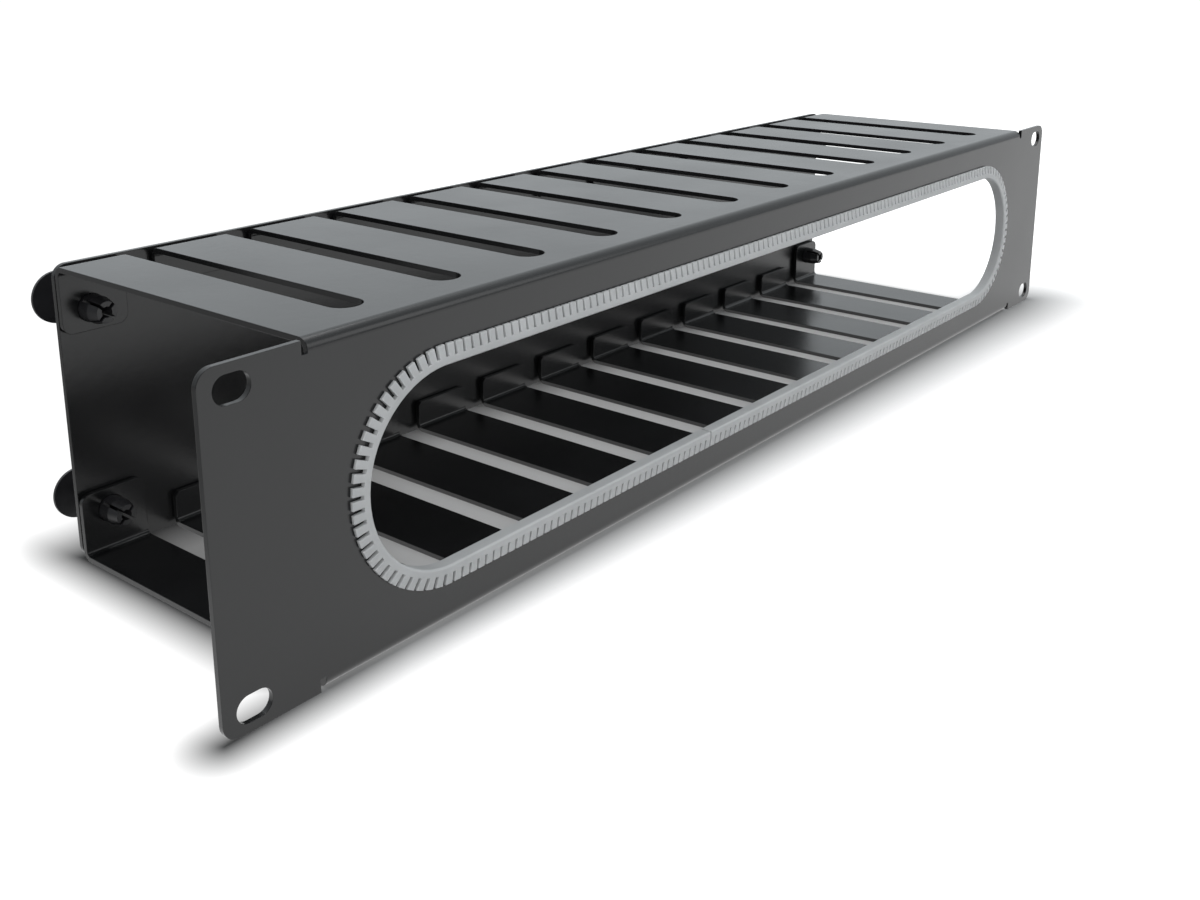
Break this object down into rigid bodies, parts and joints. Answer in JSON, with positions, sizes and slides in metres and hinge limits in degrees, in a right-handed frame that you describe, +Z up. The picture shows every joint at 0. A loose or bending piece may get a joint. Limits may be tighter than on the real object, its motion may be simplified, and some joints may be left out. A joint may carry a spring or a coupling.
{
  "type": "horizontal cable manager",
  "caption": "Two-unit rack panel with a long rounded opening in a toothed edge strip, slotted cable channel behind it and a rear plate held by push-pull latches.",
  "frame": {"origin": "centre of the front panel's front face, in the middle of the four rack holes", "axes": "+X to the right as seen from the front, +Y to the rear of the rack, +Z up"},
  "size_m": [0.4826, 0.1271, 0.0882],
  "materials": {
    "black_powder_coat": "satin powder coat on folded steel sheet",
    "grey_trim": "matt moulded strip",
    "black_latch": "moulded nylon with a soft sheen"
  },
  "bodies": {
    "cable_manager": {"housing": "black_powder_coat", "rear_plate": "black_powder_coat", "edge_trim": "grey_trim", "latch_sleeve_top_left": "black_latch", "latch_sleeve_top_right": "black_latch", "latch_sleeve_bottom_left": "black_latch", "latch_sleeve_bottom_right": "black_latch"},
    "plunger_top_left": {"latch_plunger_top_left": "black_latch"},
    "plunger_top_right": {"latch_plunger_top_right": "black_latch"},
    "plunger_bottom_left": {"latch_plunger_bottom_left": "black_latch"},
    "plunger_bottom_right": {"latch_plunger_bottom_right": "black_latch"}
  },
  "joints": [
    {"name": "plunger_top_left_slide", "type": "slide", "parent": "cable_manager", "child": "plunger_top_left", "axis": [0, -1, 0], "range_m": [0, 0.012]},
    {"name": "plunger_top_right_slide", "type": "slide", "parent": "cable_manager", "child": "plunger_top_right", "axis": [0, -1, 0], "range_m": [0, 0.012]},
    {"name": "plunger_bottom_left_slide", "type": "slide", "parent": "cable_manager", "child": "plunger_bottom_left", "axis": [0, -1, 0], "range_m": [0, 0.012]},
    {"name": "plunger_bottom_right_slide", "type": "slide", "parent": "cable_manager", "child": "plunger_bottom_right", "axis": [0, -1, 0], "range_m": [0, 0.012]}
  ]
}
